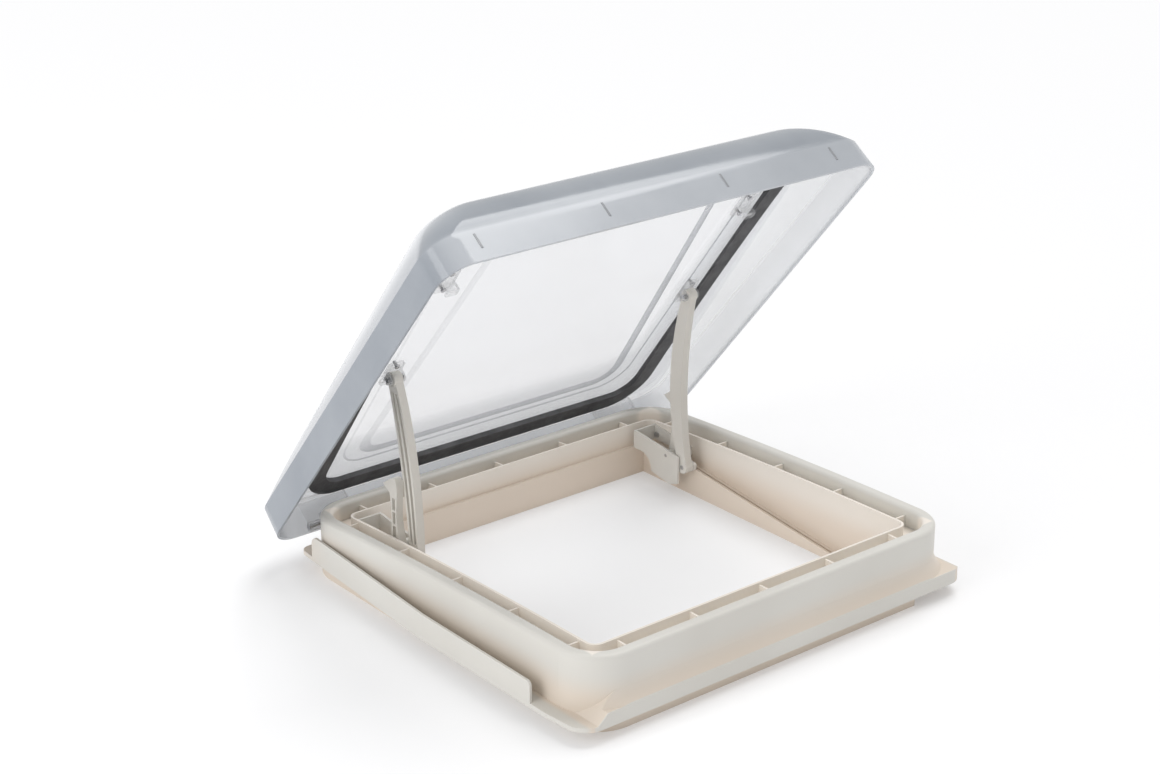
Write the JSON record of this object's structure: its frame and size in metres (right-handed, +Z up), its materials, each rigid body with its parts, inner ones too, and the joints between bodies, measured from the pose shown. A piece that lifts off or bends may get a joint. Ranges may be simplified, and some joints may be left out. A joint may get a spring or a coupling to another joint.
{
  "type": "roof hatch",
  "caption": "Lifting roof hatch: wedge-shaped square frame with flange, clear double-skinned hinged dome with seal, two folding support arms and hook levers, shown open.",
  "frame": {"origin": "centre of the rectangle of screw holes in the frame's underside, on the plane that rests on the roof", "axes": "+X along the hinge, +Y from the front edge to the hinge, +Z up out of the roof"},
  "size_m": [0.538, 0.4996, 0.4351],
  "materials": {
    "ivory_plastic": "satin moulded",
    "fittings_plastic": "satin moulded",
    "tinted_acrylic": "polished, tinted",
    "clear_acrylic": "polished, clear",
    "seal_rubber": "matt",
    "pin_steel": "bright"
  },
  "bodies": {
    "frame": {"base_frame": "ivory_plastic", "left_guide_rail": "ivory_plastic", "left_cheek_bracket": "fittings_plastic", "left_cheek_screws": "pin_steel", "left_lever_pin": "pin_steel", "right_guide_rail": "ivory_plastic", "right_cheek_bracket": "fittings_plastic", "right_cheek_screws": "pin_steel", "right_lever_pin": "pin_steel"},
    "dome": {"dome_outer_shell": "tinted_acrylic", "dome_inner_pane": "clear_acrylic", "dome_seal": "seal_rubber", "lug_screws": "pin_steel", "left_hinge_block": "clear_acrylic", "left_hinge_pin": "pin_steel", "left_arm_lug": "clear_acrylic", "left_arm_pin": "pin_steel", "left_catch_lug": "clear_acrylic", "right_hinge_block": "clear_acrylic", "right_hinge_pin": "pin_steel", "right_arm_lug": "clear_acrylic", "right_arm_pin": "pin_steel", "right_catch_lug": "clear_acrylic"},
    "left_arm": {"left_support_arm": "fittings_plastic", "left_foot_pin": "pin_steel"},
    "left_glide": {"left_foot_glide": "fittings_plastic"},
    "left_lever": {"left_hook_lever": "fittings_plastic"},
    "right_arm": {"right_support_arm": "fittings_plastic", "right_foot_pin": "pin_steel"},
    "right_glide": {"right_foot_glide": "fittings_plastic"},
    "right_lever": {"right_hook_lever": "fittings_plastic"}
  },
  "joints": [
    {"name": "dome_hinge", "type": "hinge", "parent": "frame", "child": "dome", "pos_m": [0, 0.2331, 0.0374], "axis": [-1, 0, 0], "range_deg": [-51.3, 0]},
    {"name": "left_arm_pivot", "type": "hinge", "parent": "dome", "child": "left_arm", "pos_m": [-0.19, 0.11968, 0.22657], "axis": [1, 0, 0], "range_deg": [-120.5, 0]},
    {"name": "left_glide_pivot", "type": "hinge", "parent": "left_arm", "child": "left_glide", "pos_m": [-0.1775, 0.107, 0.0364], "axis": [1, 0, 0], "range_deg": [0, 69.2]},
    {"name": "left_lever_pivot", "type": "hinge", "parent": "frame", "child": "left_lever", "pos_m": [-0.185, 0.13, 0.044], "axis": [1, 0, 0], "range_deg": [0, 88.2]},
    {"name": "right_arm_pivot", "type": "hinge", "parent": "dome", "child": "right_arm", "pos_m": [0.19, 0.11968, 0.22657], "axis": [1, 0, 0], "range_deg": [-120.5, 0]},
    {"name": "right_glide_pivot", "type": "hinge", "parent": "right_arm", "child": "right_glide", "pos_m": [0.1775, 0.107, 0.0364], "axis": [1, 0, 0], "range_deg": [0, 69.2]},
    {"name": "right_lever_pivot", "type": "hinge", "parent": "frame", "child": "right_lever", "pos_m": [0.185, 0.13, 0.044], "axis": [1, 0, 0], "range_deg": [0, 88.2]}
  ],
  "couplings": [
    {"joint": "left_arm_pivot", "follows": "dome_hinge", "ratio": 2.345},
    {"joint": "left_glide_pivot", "follows": "dome_hinge", "ratio": -1.345},
    {"joint": "left_lever_pivot", "follows": "dome_hinge", "ratio": -1.7154},
    {"joint": "right_arm_pivot", "follows": "dome_hinge", "ratio": 2.345},
    {"joint": "right_glide_pivot", "follows": "dome_hinge", "ratio": -1.345},
    {"joint": "right_lever_pivot", "follows": "dome_hinge", "ratio": -1.7154}
  ]
}
